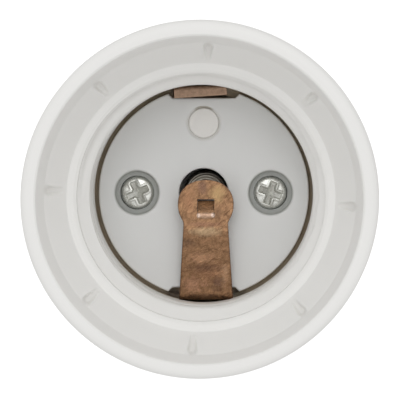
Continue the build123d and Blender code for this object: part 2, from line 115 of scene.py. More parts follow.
SPRING_AT = (0.3, -0.1)


def rounded_profile(corners):
    """A profile of radius and height through corners (radius, height, rounding, gap).

    Each corner is cut back by rounding times the tangent of half its turn and joined by an arc. The
    straight run after it is divided into steps no longer than gap.
    """
    spots = np.array([c[:2] for c in corners], float)
    points = [spots[:1]]
    leaving = spots[0]
    for k in range(1, len(corners)):
        gap = corners[k - 1][3]
        arriving = spots[k]
        arc = spots[k : k + 1]
        if k + 1 < len(corners) and corners[k][2] > 0:
            back = spots[k - 1] - spots[k]
            ahead = spots[k + 1] - spots[k]
            back = back / np.hypot(*back)
            ahead = ahead / np.hypot(*ahead)
            half_turn = (math.pi - math.acos(np.clip(back @ ahead, -1, 1))) / 2
            cut = corners[k][2] * math.tan(half_turn)
            arriving = spots[k] + back * cut
            centre = spots[k] + (back + ahead) / np.hypot(*(back + ahead)) * (
                corners[k][2] / math.cos(half_turn)
            )
            steps = max(3, int(math.degrees(2 * half_turn) / 9))
            first = math.atan2(*(arriving - centre)[::-1])
            last = math.atan2(*(spots[k] + ahead * cut - centre)[::-1])
            sweep = (last - first + math.pi) % (2 * math.pi) - math.pi
            bearings = first + sweep * np.linspace(0, 1, steps + 1)
            arc = centre + corners[k][2] * np.stack([np.cos(bearings), np.sin(bearings)], 1)
        run = max(1, int(math.ceil(np.hypot(*(arriving - leaving)) / gap)))
        share = np.linspace(0, 1, run + 1)[1:-1, None]
        points += [leaving + (arriving - leaving) * share, arc]
        leaving = arc[-1]
    return np.concatenate(points)


def turned_grid(profile, angles, centre=(0.0, 0.0)):
    """A profile of radius and height carried round a vertical axis through centre."""
    radius = profile[:, :1] * np.ones_like(angles)
    height = profile[:, 1:] * np.ones_like(angles)
    return np.stack(
        [centre[0] + radius * np.cos(angles), centre[1] + radius * np.sin(angles), height], 2
    )


def skin_mesh(name, grids, smooth_angle=32.0):
    """One mesh from several grids of points in millimetres.

    Neighbouring rows and columns are joined by faces. Repeated points at seams and poles are merged
    and the faces of each closed skin are turned outwards.
    """
    spots = []
    faces = []
    start = 0
    for grid in grids:
        rows, columns = grid.shape[:2]
        index = start + np.arange(rows * columns).reshape(rows, columns)
        spots.append(grid.reshape(-1, 3))
        faces.append(
            np.stack(
                [index[:-1, :-1], index[:-1, 1:], index[1:, 1:], index[1:, :-1]], 2
            ).reshape(-1, 4)
        )
        start += rows * columns
    mesh = bpy.data.meshes.new(name)
    mesh.from_pydata((np.concatenate(spots) * MM).tolist(), [], np.concatenate(faces).tolist())
    work = bmesh.new()
    work.from_mesh(mesh)
    bmesh.ops.remove_doubles(work, verts=work.verts, dist=2e-7)
    bmesh.ops.dissolve_degenerate(work, dist=1e-8, edges=work.edges)
    bmesh.ops.recalc_face_normals(work, faces=work.faces)
    work.to_mesh(mesh)
    work.free()
    mesh.polygons.foreach_set("use_smooth", [True] * len(mesh.polygons))
    mesh.set_sharp_from_angle(angle=math.radians(smooth_angle))
    piece = bpy.data.objects.new(name, mesh)
    bpy.context.scene.collection.objects.link(piece)
    return piece


def eased(share):
    """A share from nought to one, made to start and stop softly: three squares less two cubes."""
    return share * share * (3 - 2 * share)


def point_spots(piece):
    """The points of a piece's mesh in millimetres, one row each."""
    spots = np.zeros(len(piece.data.vertices) * 3)
    piece.data.vertices.foreach_get("co", spots)
    return spots.reshape(-1, 3) / MM


def keep_on_points(piece, name, values):
    """Keeps one value for each point of the mesh, for a material to read."""
    piece.data.attributes.new(name, "FLOAT", "POINT").data.foreach_set("value", values)


def knuckle_reach(offset, crest, root, pitch):
    """The radius of a rounded thread at a height offset from the middle of its bulge.

    Two equal arcs meet at a quarter of the pitch, one bulging out and one in.
    """
    depth = crest - root
    arc = (depth**2 + (pitch / 2) ** 2) / (4 * depth)
    away = np.abs(offset)
    out = crest - arc + np.sqrt(np.maximum(arc**2 - away**2, 0))
    back = root + arc - np.sqrt(np.maximum(arc**2 - (pitch / 2 - away) ** 2, 0))
    return np.where(away < pitch / 4, out, back)


def add_node(nodes, kind, values=None, operation=None):
    """A new shader node, with values for its inputs by name or number and perhaps an operation."""
    node = nodes.new("ShaderNode" + kind)
    if operation:
        node.operation = operation
    for socket, value in (values or {}).items():
        node.inputs[socket].default_value = value
    return node


def moulded_plastic(name, colour, shade, roughness, grain):
    """A satin moulding: a faint cloudiness in the colour, a fine grain and uneven gloss."""
    material = bpy.data.materials.new(name)
    material.use_nodes = True
    nodes = material.node_tree.nodes
    links = material.node_tree.links
    shader = nodes["Principled BSDF"]
    shader.inputs["Specular IOR Level"].default_value = 0.35
    place = add_node(nodes, "TexCoord")
    cloud = add_node(nodes, "TexNoise", {"Scale": 90.0, "Detail": 3.0})
    tint = nodes.new("ShaderNodeMix")
    tint.data_type = "RGBA"
    tint.inputs[6].default_value = (*colour, 1.0)
    tint.inputs[7].default_value = (*[c * shade for c in colour], 1.0)
    fine = add_node(nodes, "TexNoise", {"Scale": 2600.0, "Detail": 2.0})
    bump = add_node(nodes, "Bump", {"Strength": grain, "Distance": 0.00002})
    gloss = add_node(nodes, "MapRange", {"To Min": roughness - 0.06, "To Max": roughness + 0.06})
    links.new(place.outputs["Object"], cloud.inputs["Vector"])
    links.new(place.outputs["Object"], fine.inputs["Vector"])
    links.new(cloud.outputs["Fac"], tint.inputs[0])
    links.new(cloud.outputs["Fac"], gloss.inputs["Value"])
    links.new(tint.outputs[2], shader.inputs["Base Color"])
    links.new(gloss.outputs["Result"], shader.inputs["Roughness"])
    links.new(fine.outputs["Fac"], bump.inputs["Height"])
    links.new(bump.outputs["Normal"], shader.inputs["Normal"])
    return material


def mix_over(material, colour, amount):
    """Mixes a colour over the material's present colour, by the amount that a socket gives."""
    nodes = material.node_tree.nodes
    links = material.node_tree.links
    base = nodes["Principled BSDF"].inputs["Base Color"]
    under = base.links[0].from_socket
    tint = nodes.new("ShaderNodeMix")
    tint.data_type = "RGBA"
    tint.inputs[7].default_value = (*colour, 1.0)
    links.new(amount, tint.inputs[0])
    links.new(under, tint.inputs[6])
    links.new(tint.outputs[2], base)


def tint_below(material, colour, fades_from, full_below, inner, outer, centre=(0.0, 0.0)):
    """Turns the material towards a colour below a height, for painted shade or light in a recess.

    Only the ring between two radii about an upright line is tinted, and nothing below the floor.
    """
    nodes = material.node_tree.nodes
    links = material.node_tree.links
    place = add_node(nodes, "TexCoord")
    apart = add_node(nodes, "SeparateXYZ")
    low = add_node(nodes, "MapRange", {"From Min": fades_from * MM, "From Max": full_below * MM})
    from_centre = (-centre[0] * MM, -centre[1] * MM, 0.0)
    flat = add_node(nodes, "VectorMath", {1: (1.0, 1.0, 0.0), 2: from_centre}, "MULTIPLY_ADD")
    away = add_node(nodes, "VectorMath", operation="LENGTH")
    band = {1: (inner + outer) / 2 * MM, 2: (outer - inner) / 2 * MM}
    ring_only = add_node(nodes, "Math", band, "COMPARE")
    indoors = add_node(nodes, "Math", {1: (FLOOR_Z - 0.1) * MM}, "GREATER_THAN")
    low_in_ring = add_node(nodes, "Math", operation="MULTIPLY")
    amount = add_node(nodes, "Math", operation="MULTIPLY")
    links.new(place.outputs["Object"], apart.inputs["Vector"])
    links.new(apart.outputs["Z"], low.inputs["Value"])
    links.new(apart.outputs["Z"], indoors.inputs[0])
    links.new(place.outputs["Object"], flat.inputs[0])
    links.new(flat.outputs["Vector"], away.inputs[0])
    links.new(away.outputs["Value"], ring_only.inputs[0])
    links.new(ring_only.outputs["Value"], low_in_ring.inputs[0])
    links.new(low.outputs["Result"], low_in_ring.inputs[1])
    links.new(low_in_ring.outputs["Value"], amount.inputs[0])
    links.new(indoors.outputs["Value"], amount.inputs[1])
    mix_over(material, colour, amount.outputs["Value"])


def tint_by(material, attribute, colour, sharpness):
    """Turns the material towards a colour by a value kept on the mesh, raised to a power."""
    nodes = material.node_tree.nodes
    links = material.node_tree.links
    kept = add_node(nodes, "Attribute")
    kept.attribute_name = attribute
    sharper = add_node(nodes, "Math", {1: sharpness}, "POWER")
    links.new(kept.outputs["Fac"], sharper.inputs[0])
    mix_over(material, colour, sharper.outputs["Value"])


housing_line = rounded_profile(
    [
        (0.0, FLOOR_Z, 0, 4.0),
        (CHAMBER_R, FLOOR_Z, 0, 3.0),
        (CHAMBER_R, SEAT_Z, 0, 0.5),
        (PLATE_R + 0.05, SEAT_Z, 0, 1.0),
        (PLATE_R + 0.05, GAP_Z, 0.2, 1.0),
        (SOCKET_CREST, GAP_Z, 0.2, 1.0),
        (SOCKET_CREST, SLOT_TOP - 0.02, 0, 0.8),
        (SOCKET_CREST, SLOT_TOP, 0, 0.29),
        (SOCKET_CREST, ENTRY_LOW - ENTRY_R + SOCKET_CREST, 0.25, 0.26),
        (ENTRY_R, ENTRY_LOW, 0.2, 0.5),
        (ENTRY_R, 46.65, 0.12, 0.3),
        (20.5, 47.05, 0.25, 0.4),
        (*FUNNEL_LOW, 0.25, 0.24),
        (*FUNNEL_BREAK, 0, 0.19),
        (*FUNNEL_TOP, 1.2, 1.0),
        (25.95, 59.7, 0.15, 0.2),
        (26.25, RIM_Z, 0.15, 1.0),
        (28.3, RIM_Z, 1.2, 2.5),
        (28.6, 51.0, 2.0, 1.6),
        (23.1, 43.0, 5.0, 9.0),
        (22.3, 10.5, 4.0, 1.6),
        (15.6, 2.5, 2.0, 0.8),
        (15.6, 0.0, 0.25, 1.0),
        (12.71, 0.0, 0, 1.5),
        (12.71, -2.54, 0, 0.5),
        (11.75, -3.5, 0, 3.0),
        (11.75, -12.5, 0.2, 1.0),
        (9.55, -12.5, 0.2, 5.0),
        (9.55, 8.0, 0, 4.0),
        (0.0, 8.0, 0, 1.0),
    ]
)
pocket_bearings = POCKET_TURN + 360.0 / POCKET_COUNT * np.arange(POCKET_COUNT)
near_pocket = (pocket_bearings[:, None] + np.linspace(-2.5, 2.5, 19)).ravel()
slot_edges = np.degrees(
    [math.atan2(-SLOT_BACK, STRIP_X + side * SLOT_HALF) for side in (-1, 1)]
    + [math.atan2(SLOT_BACK, SIDE_X + side * SLOT_HALF) for side in (-1, 1)]
)
near_slot = (slot_edges[:, None] + np.linspace(-1.2, 1.2, 9)).ravel()
bearings = np.concatenate([np.arange(0, 360, 2.25), near_pocket, near_slot]) % 360.0
bearings = np.unique(np.round(bearings, 3))
bearings = bearings[np.append(np.diff(bearings) > 0.12, True)]
bearings = np.radians(np.append(bearings, bearings[0] + 360.0))
reach = housing_line[:, :1] * np.ones_like(bearings)
height = housing_line[:, 1:] * np.ones_like(bearings)
inside = (np.arange(len(housing_line)) < np.argmax(housing_line[:, 0]))[:, None]

# the thread is cut outwards from the bore wherever it is wider than the bore and its lead-in
around = (bearings % (2 * np.pi)) / (2 * np.pi)
turns = (height - SOCKET_START) / SOCKET_PITCH - around
whole = np.maximum(np.round(turns), 0)
groove_foot = SOCKET_CREST - SOCKET_UNDERCUT
groove = knuckle_reach((turns - whole) * SOCKET_PITCH, SOCKET_ROOT, groove_foot, SOCKET_PITCH)
run_in = eased(np.clip((whole + around) / SOCKET_RUN_IN, 0, 1))
groove = groove_foot + (groove - groove_foot) * run_in
threaded = inside & (np.abs(turns - whole) < 0.5) & (height > SLOT_TOP + 0.1) & (height < ENTRY_LOW)
reach = np.where(threaded & (groove > reach), groove, reach)

# flat-backed slots behind the two contacts
in_chamber = inside & (height < SLOT_TOP - 0.01) & (reach > CHAMBER_R - 0.01)
low_reach = SLOT_BACK / np.maximum(-np.sin(bearings), 0.2)
low_slot = in_chamber & (np.abs(low_reach * np.cos(bearings) - STRIP_X) < SLOT_HALF)
reach = np.where(low_slot & (np.sin(bearings) < 0), low_reach, reach)
side_facing = np.cos(bearings - math.pi / 2 - SIDE_TURN)
side_reach = SLOT_BACK / np.maximum(side_facing, 0.2)
side_middle = SIDE_X * math.cos(SIDE_TURN) + SIDE_Y * math.sin(SIDE_TURN) - SIDE_SLOT_EXTRA
side_along = side_reach * np.cos(bearings - SIDE_TURN) - side_middle
high_slot = in_chamber & (np.abs(side_along) < SLOT_HALF + SIDE_SLOT_EXTRA)
reach = np.where(high_slot & (side_facing > 0), side_reach, reach)

# each pocket sinks to a shallower cone inside a drop-shaped outline, fading to nothing inwards
funnel_slope = (FUNNEL_TOP[1] - FUNNEL_LOW[1]) / (FUNNEL_TOP[0] - FUNNEL_LOW[0])
pocket_floor_in = FUNNEL_LOW[1] + funnel_slope * (POCKET_IN - FUNNEL_LOW[0])
pocket_floor_out = FUNNEL_TOP[1] + funnel_slope * (POCKET_OUT - FUNNEL_TOP[0]) - POCKET_DEPTH


def pocket_share(reach, bearing):
    """How far inside the nearest pocket's outline each point lies, and its distance along the pocket.

    The outline is a run of circles whose radius grows outwards. The share goes softly from nothing
    just outside the edge to one well inside it.
    """
    nearest = (np.degrees(bearing) - POCKET_TURN + 180.0 / POCKET_COUNT) % (360.0 / POCKET_COUNT)
    swing = np.radians(nearest - 180.0 / POCKET_COUNT)
    along = reach * np.cos(swing)
    across = np.abs(reach * np.sin(swing))
    foot = POCKET_IN + POCKET_HALF_IN
    nose = POCKET_OUT - POCKET_HALF_OUT
    way = np.clip((along - foot) / (nose - foot), 0, 1)
    half = POCKET_HALF_IN + (POCKET_HALF_OUT - POCKET_HALF_IN) * way
    edge = half - np.hypot(along - foot - way * (nose - foot), across)
    return eased(np.clip(edge / POCKET_EDGE + 0.4, 0, 1)), along


sunk, along = pocket_share(reach, bearings)
pocket_floor = pocket_floor_in + (along - POCKET_IN) / (POCKET_OUT - POCKET_IN) * (
    pocket_floor_out - pocket_floor_in
)
in_funnel = inside & (height > FUNNEL_LOW[1] - 0.1) & (height < FUNNEL_END_Z)
height = np.where(in_funnel, height + np.minimum(pocket_floor - height, 0) * sunk, height)

housing_grid = np.stack([reach * np.cos(bearings), reach * np.sin(bearings), height], 2)
post_ring = np.radians(np.linspace(0, 360, 49))
peg = rounded_profile(
    [(0, FLOOR_Z, 0, 3), (PEG_R, FLOOR_Z, 0, 9), (PEG_R, PEG_TOP, 0.25, 1), (0, PEG_TOP, 0, 1)]
)
screw_boss = rounded_profile(
    [
        (SCREW_BORE_R, 12.4, 0, 9),
        (SCREW_BORE_R, SEAT_Z, 0, 2),
        (3.1, SEAT_Z, 0.1, 9),
        (3.1, FLOOR_Z, 0, 9),
        (0, FLOOR_Z, 0, 9),
        (0, 12.4, 0, 9),
        (SCREW_BORE_R, 12.4, 0, 9),
    ]
)
spring_cup = rounded_profile(
    [
        (3.8, FLOOR_Z, 0, 9),
        (3.8, 13, 0.1, 9),
        (4.8, 13, 0.2, 9),
        (4.8, FLOOR_Z, 0, 9),
        (3.8, FLOOR_Z, 0, 9),
    ]
)


def beside_contact(u, v):
    """Places along and across the side contact, turned with it into the part's frame."""
    x = SIDE_X + u * math.cos(SIDE_TURN) - v * math.sin(SIDE_TURN)
    y = SIDE_Y + u * math.sin(SIDE_TURN) + v * math.cos(SIDE_TURN)
    return x, y


def standing_block(half_x, y_low, y_high, z_high):
    """A block on the chamber floor in the side contact's own frame, as an outline carried upwards."""
    u = np.array([-half_x, half_x, half_x, -half_x, -half_x])
    v = np.array([y_low, y_low, y_high, y_high, y_low])
    x, y = beside_contact(u, v)
    middle = np.ones_like(x)
    centre_x = middle * x[:4].mean()
    centre_y = middle * y[:4].mean()
    rows = [
        (centre_x, centre_y, FLOOR_Z),
        (x, y, FLOOR_Z),
        (x, y, z_high),
        (centre_x, centre_y, z_high),
    ]
    return np.stack([np.stack([a, b, middle * c], 1) for a, b, c in rows])


housing = skin_mesh(
    "moulded_housing",
    [
        housing_grid,
        turned_grid(peg, post_ring, (0.0, PEG_Y)),
        turned_grid(screw_boss, post_ring, (-SCREW_X, 0.0)),
        turned_grid(screw_boss, post_ring, (SCREW_X, 0.0)),
        turned_grid(spring_cup, post_ring, SPRING_AT),
        standing_block(4.2, -2.25, -0.65, 14.4),
        standing_block(5.6, 0.15, 1.6, 14.4),
    ],
)
housing_paint = moulded_plastic("housing_plastic", (0.905, 0.898, 0.877), 0.985, 0.5, 0.3)
# painted shade, with some grime, on the walls of the gap round the plate, below its face
tint_below(housing_paint, (0.63, 0.545, 0.42), 24.75, 24.35, 14.5, 19.5)
# painted light: the peg's top is painted lighter, against the shade of its recess
tint_below(housing_paint, (0.99, 0.97, 0.94), 24.5, 24.0, 0.0, 2.6, (0.0, PEG_Y))

# the pockets are painted a little darker: painted shade in the recesses
east, north, level = point_spots(housing).T
pocket_shade = pocket_share(np.hypot(east, north), np.arctan2(north, east))[0]
keep_on_points(housing, "painted_pocket_shade", pocket_shade * ((level > FUNNEL_LOW[1]) & (level < FUNNEL_END_Z)))
tint_by(housing_paint, "painted_pocket_shade", (0.835, 0.825, 0.80), 1.0)
housing.data.materials.append(housing_paint)
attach(housing, "adapter")
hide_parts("housing")


# Contact plate: a pale moulded disc resting on the housing's shoulder and the two bosses. Two screws
# hold it, a peg of the housing locates it, and two chamfered notches let the contacts past its edge.
PLATE_TOP = 24.0
PLATE_LOW = 21.0
NOTCH_Y = 15.7
NOTCH_HALF = 5.2
PLATE_EDGE = 0.3
PLATE_LOW_EDGE = 0.1
COUNTERBORE_X = 11.05
COUNTERBORE_MOUTH_R = 3.87
COUNTERBORE_Z = PLATE_TOP - 1.1
RECESS_R = 2.78
RECESS_Z = PLATE_TOP - 2.0
SCREW_HOLE_R = 1.8
PEG_HOLE_MOUTH_R = 3.15
PEG_HOLE_R = 2.48
SPRING_HOLE_MOUTH_R = 4.2
SPRING_HOLE_R = 4.06


def colour_patch(material, colour, strength, centre, size, ragged=0.5):
    """Turns a material towards a colour in a soft ragged ellipsoid, centre and half sizes in mm."""
    nodes = material.node_tree.nodes
    links = material.node_tree.links
    place = add_node(nodes, "TexCoord")
    shift = add_node(nodes, "VectorMath", {1: [c * MM for c in centre]}, "SUBTRACT")
    scale = add_node(nodes, "VectorMath", {1: [s * MM for s in size]}, "DIVIDE")
    away = add_node(nodes, "VectorMath", operation="LENGTH")
    noise = add_node(nodes, "TexNoise", {"Scale": 1400.0, "Detail": 3.0})
    uneven = add_node(nodes, "Math", {1: 2 * ragged}, "MULTIPLY_ADD")
    fade = {"From Min": 1.0 + 1.25 * ragged, "From Max": 0.5 + 0.75 * ragged, "To Max": strength}
    inside = add_node(nodes, "MapRange", fade)
    links.new(place.outputs["Object"], shift.inputs[0])
    links.new(place.outputs["Object"], noise.inputs["Vector"])
    links.new(shift.outputs["Vector"], scale.inputs[0])
    links.new(scale.outputs["Vector"], away.inputs[0])
    links.new(noise.outputs["Fac"], uneven.inputs[0])
    links.new(away.outputs["Value"], uneven.inputs[2])
    links.new(uneven.outputs["Value"], inside.inputs["Value"])
    mix_over(material, colour, inside.outputs["Result"])


def plate_outline(inset):
    """The plate's outline: a circle cut by two notches whose sides flare out at 45 degrees."""
    radius = PLATE_R - inset
    foot = NOTCH_HALF + inset * 0.41
    bank = NOTCH_Y - inset
    # the flare x = foot + t, y = bank + t meets the circle at this t
    t = (math.sqrt(2 * radius**2 - (bank - foot) ** 2) - foot - bank) / 2
    limit = math.atan2(foot + t, bank + t)
    right = np.linspace(-math.pi / 2 + limit, math.pi / 2 - limit, 60)
    side = np.stack([radius * np.cos(right), radius * np.sin(right)], 1)
    notch = np.array([(foot, bank), (-foot, bank)])
    loop = np.concatenate([side, notch, -side, -notch])
    return np.concatenate([loop, loop[:1]])


def fill_between(name, loops, z, facing):
    """A flat face between closed loops of points, the first outside and the others its holes."""
    work = bmesh.new()
    edges = []
    for loop in loops:
        verts = [work.verts.new((x * MM, y * MM, z * MM)) for x, y in loop[:-1]]
        edges += [work.edges.new((verts[k - 1], verts[k])) for k in range(len(verts))]
    bmesh.ops.triangle_fill(work, use_beauty=True, use_dissolve=False, edges=edges)
    for face in work.faces:
        if face.normal.z * facing < 0:
            face.normal_flip()
    mesh = bpy.data.meshes.new(name)
    work.to_mesh(mesh)
    work.free()
    return mesh


def circle_loop(radius, centre):
    """A closed circle with the same steps as the plate's holes."""
    x = centre[0] + radius * np.cos(circle_steps)
    y = centre[1] + radius * np.sin(circle_steps)
    return np.stack([x, y], 1)


circle_steps = np.radians(np.linspace(0, 360, 73))
rim_steps = [
    (PLATE_LOW_EDGE, PLATE_LOW),
    (0.0, PLATE_LOW + PLATE_LOW_EDGE),
    (0.0, PLATE_TOP - PLATE_EDGE),
    (0.09, PLATE_TOP - 0.11),
    (0.2, PLATE_TOP - 0.03),
    (PLATE_EDGE, PLATE_TOP),
]
plate_side = np.stack(
    [np.insert(plate_outline(inset), 2, level, axis=1) for inset, level in rim_steps]
)
recess = rounded_profile(
    [
        (COUNTERBORE_MOUTH_R, PLATE_TOP, 0, 1),
        (3.62, PLATE_TOP - 0.3, 0.3, 1),
        (3.55, COUNTERBORE_Z, 0.3, 1),
        (RECESS_R, COUNTERBORE_Z, 0.1, 1),
        (RECESS_R, RECESS_Z, 0.1, 1),
        (SCREW_HOLE_R, RECESS_Z, 0.1, 1),
        (SCREW_HOLE_R, PLATE_LOW, 0, 1),
    ]
)
peg_hole = rounded_profile(
    [
        (PEG_HOLE_MOUTH_R, PLATE_TOP, 0, 1),
        (2.9, PLATE_TOP - 0.07, 0.3, 1),
        (PEG_HOLE_R, PLATE_TOP - 0.42, 0.3, 3),
        (PEG_HOLE_R, PLATE_LOW, 0, 1),
    ]
)
centre_hole = rounded_profile(
    [
        (SPRING_HOLE_MOUTH_R, PLATE_TOP, 0, 1),
        (SPRING_HOLE_R, PLATE_TOP - 0.14, 0.05, 3),
        (SPRING_HOLE_R, PLATE_LOW, 0, 1),
    ]
)
plate = skin_mesh(
    "contact_disc",
    [
        plate_side,
        turned_grid(recess, circle_steps, (-COUNTERBORE_X, 0.0)),
        turned_grid(recess, circle_steps, (COUNTERBORE_X, 0.0)),
        turned_grid(peg_hole, circle_steps, (0.0, PEG_Y)),
        turned_grid(centre_hole, circle_steps, (0.0, 0.0)),
    ],
)
work = bmesh.new()
work.from_mesh(plate.data)
for level, facing, inset, screw_r, peg_r, spring_r in (
    (PLATE_TOP, 1, PLATE_EDGE, COUNTERBORE_MOUTH_R, PEG_HOLE_MOUTH_R, SPRING_HOLE_MOUTH_R),
    (PLATE_LOW, -1, PLATE_LOW_EDGE, SCREW_HOLE_R, PEG_HOLE_R, SPRING_HOLE_R),
):
    loops = [
        plate_outline(inset),
        circle_loop(screw_r, (-COUNTERBORE_X, 0.0)),
        circle_loop(screw_r, (COUNTERBORE_X, 0.0)),
        circle_loop(peg_r, (0.0, PEG_Y)),
        circle_loop(spring_r, (0.0, 0.0)),
    ]
    work.from_mesh(fill_between("plate_face", loops, level, facing))
bmesh.ops.remove_doubles(work, verts=work.verts, dist=2e-7)
bmesh.ops.recalc_face_normals(work, faces=work.faces)
work.to_mesh(plate.data)
work.free()
normals = np.zeros(len(plate.data.polygons) * 3)
plate.data.polygons.foreach_get("normal", normals)
flat_top = np.abs(normals.reshape(-1, 3)[:, 2]) > 0.999
plate.data.polygons.foreach_set("use_smooth", (~flat_top).tolist())
plate.data.set_sharp_from_angle(angle=math.radians(32.0))
plate_paint = moulded_plastic("plate_plastic", (0.90, 0.905, 0.898), 0.98, 0.45, 0.4)
# painted shade in the counterbores, the spring hole and the peg's dish, and with some grime at the
# edge
for colour, fades_from, full_below, inner, outer, centre in (
    ((0.43, 0.44, 0.42), 0.08, 0.45, 0.0, 4.0, (-COUNTERBORE_X, 0.0)),
    ((0.43, 0.44, 0.42), 0.08, 0.45, 0.0, 4.0, (COUNTERBORE_X, 0.0)),
    ((0.40, 0.36, 0.30), 0.08, 0.45, 0.0, 4.3, (0.0, 0.0)),
    ((0.63, 0.545, 0.42), 0.08, 0.45, 15.2, 18.0, (0.0, 0.0)),
    ((0.80, 0.785, 0.755), 0.02, 0.40, 2.3, 3.2, (0.0, PEG_Y)),
):
    start_z = PLATE_TOP - fades_from
    full_z = PLATE_TOP - full_below
    tint_below(plate_paint, colour, start_z, full_z, inner, outer, centre)

# painted shade above the peg and, on the housing, at both ends of the lower notch
above_peg = (0.0, PEG_Y + 2.5, PLATE_TOP - 0.3)
colour_patch(plate_paint, (0.42, 0.38, 0.31), 0.8, above_peg, (2.3, 0.7, 0.26), 0.1)
colour_patch(housing_paint, (0.15, 0.11, 0.075), 0.9, (-4.9, -17.0, 21.3), (1.9, 1.3, 2.5), 0.2)
colour_patch(housing_paint, (0.30, 0.25, 0.19), 0.8, (5.6, -16.9, 21.3), (1.5, 1.3, 2.5), 0.2)
plate.data.materials.append(plate_paint)
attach(plate, "adapter")
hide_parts("contact_plate")


# Plate screws: zinc-plated screws with low domed heads and a cross recess, driven into the bosses.
# Their heads sit below the plate's face.
HEAD_LOW = 22.0
HEAD_R = 2.71
HEAD_RISE = 1.55
HEAD_EDGE = 0.88
SHANK_R = 1.4
SHANK_END = 13.0
ARM_HALF = 0.47
ARM_REACH = 1.95
CROSS_MIDDLE_R = 0.88
CROSS_DEPTH = 1.25
CROSS_RISE = 0.52
RIDGE = 0.15


def worn_metal(
    name, colour, dark, metallic, roughness, scale, streak=1.0, lean=0.0, bump_height=0.00003
):
    """Handled sheet metal: cloudy tarnish between two colours, fine scratches and uneven gloss."""
    material = bpy.data.materials.new(name)
    material.use_nodes = True
    nodes = material.node_tree.nodes
    links = material.node_tree.links
    shader = nodes["Principled BSDF"]
    shader.inputs["Metallic"].default_value = metallic
    place = add_node(nodes, "TexCoord")
    stretch = add_node(nodes, "Mapping")
    stretch.vector_type = "TEXTURE"
    stretch.inputs["Scale"].default_value = (1.0, streak, 1.0)
    stretch.inputs["Rotation"].default_value[2] = math.radians(lean)
    cloud = add_node(nodes, "TexNoise", {"Scale": scale, "Detail": 8.0, "Roughness": 0.74})
    spread = add_node(nodes, "MapRange", {"From Min": 0.32, "From Max": 0.68})
    tint = nodes.new("ShaderNodeMix")
    tint.data_type = "RGBA"
    tint.inputs[6].default_value = (*dark, 1.0)
    tint.inputs[7].default_value = (*colour, 1.0)
    fine = add_node(nodes, "TexNoise", {"Scale": scale * 5, "Detail": 4.0})
    gloss = add_node(nodes, "MapRange", {"To Min": roughness + 0.12, "To Max": roughness - 0.12})
    bump = add_node(nodes, "Bump", {"Strength": 0.5, "Distance": bump_height})
    links.new(place.outputs["Object"], stretch.inputs["Vector"])
    links.new(place.outputs["Object"], cloud.inputs["Vector"])
    links.new(stretch.outputs["Vector"], fine.inputs["Vector"])
    links.new(cloud.outputs["Fac"], spread.inputs["Value"])
    links.new(spread.outputs["Result"], tint.inputs[0])
    links.new(tint.outputs[2], shader.inputs["Base Color"])
    links.new(fine.outputs["Fac"], gloss.inputs["Value"])
    links.new(gloss.outputs["Result"], shader.inputs["Roughness"])
    links.new(fine.outputs["Fac"], bump.inputs["Height"])
    links.new(bump.outputs["Normal"], shader.inputs["Normal"])
    return material


def screw_skin(x, cross_turn):
    """A turned screw with a low domed head, pressed in by a cross of two arms.

    The dome falls with the square of the radius and, near its edge, with a high power of it. The
    cross is deepest in the middle, and the metal pushed up beside its arms stands in small ridges.
    """
    outline = rounded_profile(
        [
            (0, HEAD_LOW + HEAD_RISE, 0, 0.07),
            (HEAD_R, HEAD_LOW + HEAD_RISE, 0, 0.07),
            (HEAD_R, HEAD_LOW, 0.1, 1),
            (SHANK_R, HEAD_LOW, 0.1, 2),
            (SHANK_R, SHANK_END + 0.7, 0, 1),
            (0.7, SHANK_END, 0, 1),
            (0, SHANK_END, 0, 1),
        ]
    )
    bearing = np.radians(np.linspace(0, 360, 145))
    grid = turned_grid(outline, bearing)
    top = (outline[:, 1] > HEAD_LOW + HEAD_RISE - 1e-6)[:, None]
    radius = outline[:, :1] * np.ones_like(bearing)
    out = radius / HEAD_R
    fall = (HEAD_RISE - HEAD_EDGE) * (0.22 * out**2 + 0.78 * out**13)
    a = np.abs(radius * np.cos(bearing - cross_turn))
    b = np.abs(radius * np.sin(bearing - cross_turn))
    one_arm = np.minimum(ARM_HALF - b, ARM_REACH - a)
    other_arm = np.minimum(ARM_HALF - a, ARM_REACH - b)
    arm = np.maximum(np.maximum(one_arm, other_arm), CROSS_MIDDLE_R - radius)
    press = np.clip(arm / 0.14 + 0.4, 0, 1) * (CROSS_DEPTH - CROSS_RISE * radius)
    ridge = RIDGE * np.exp(-(((arm + 0.3) / 0.15) ** 2)) * np.clip((2.2 - radius) / 0.3, 0, 1)
    press = press - ridge * (0.65 + 0.35 * np.cos(3 * bearing + x))
    # the dome and the cross are taken off the top, and the side ends at the dome's edge
    z = grid[:, :, 2]
    grid[:, :, 2] = np.where(top, z - fall - press, np.minimum(z, HEAD_LOW + HEAD_EDGE))
    grid[:, :, 0] += x
    return grid


screw_metal = worn_metal(
    "screw_plating", (0.83, 0.84, 0.80), (0.52, 0.52, 0.48), 0.85, 0.3, 1100.0, bump_height=0.00005
)
for side, x, cross in (("left", -SCREW_X, 25.0), ("right", SCREW_X, -20.0)):
    screw = skin_mesh("screw_" + side, [screw_skin(x, math.radians(cross))])
    screw.data.materials.append(screw_metal)
    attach(screw, "adapter")
    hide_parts("plate_screw_" + side)


# Centre contact: one strip of copper, pressed with a round pad and a window whose metal is bent down
# as a tab. Its far end turns over the plate's notch and hooks underneath, where a lead is soldered.
SHEET = 0.5
PAD_R = 4.6
PAD_REACH = 4.08
PAD_Y = -1.88
PAD_MID = 27.25
CREASE_Y = -6.0
ROOT_Y = -17.45
ROOT_MID = 24.55
FOOT_MID = 20.75
FOOT_END = -13.0
NECK_HALF = 3.65
ROOT_HALF = 4.45
NECK_Y = -4.6
WINDOW_HALF = 1.4
WINDOW_LOW = -4.15
WINDOW_HIGH = -0.95
TAB_GAP = 0.06
CUT_EDGE = 0.4
LIP_Y = WINDOW_LOW + 0.5


def sheet_grid(line, across):
    """A line of heights along y carried sideways: its points at each of the places across."""
    ones = np.ones_like(across)
    return np.stack([STRIP_X + across, line[:, :1] * ones, line[:, 1:] * ones], 2)


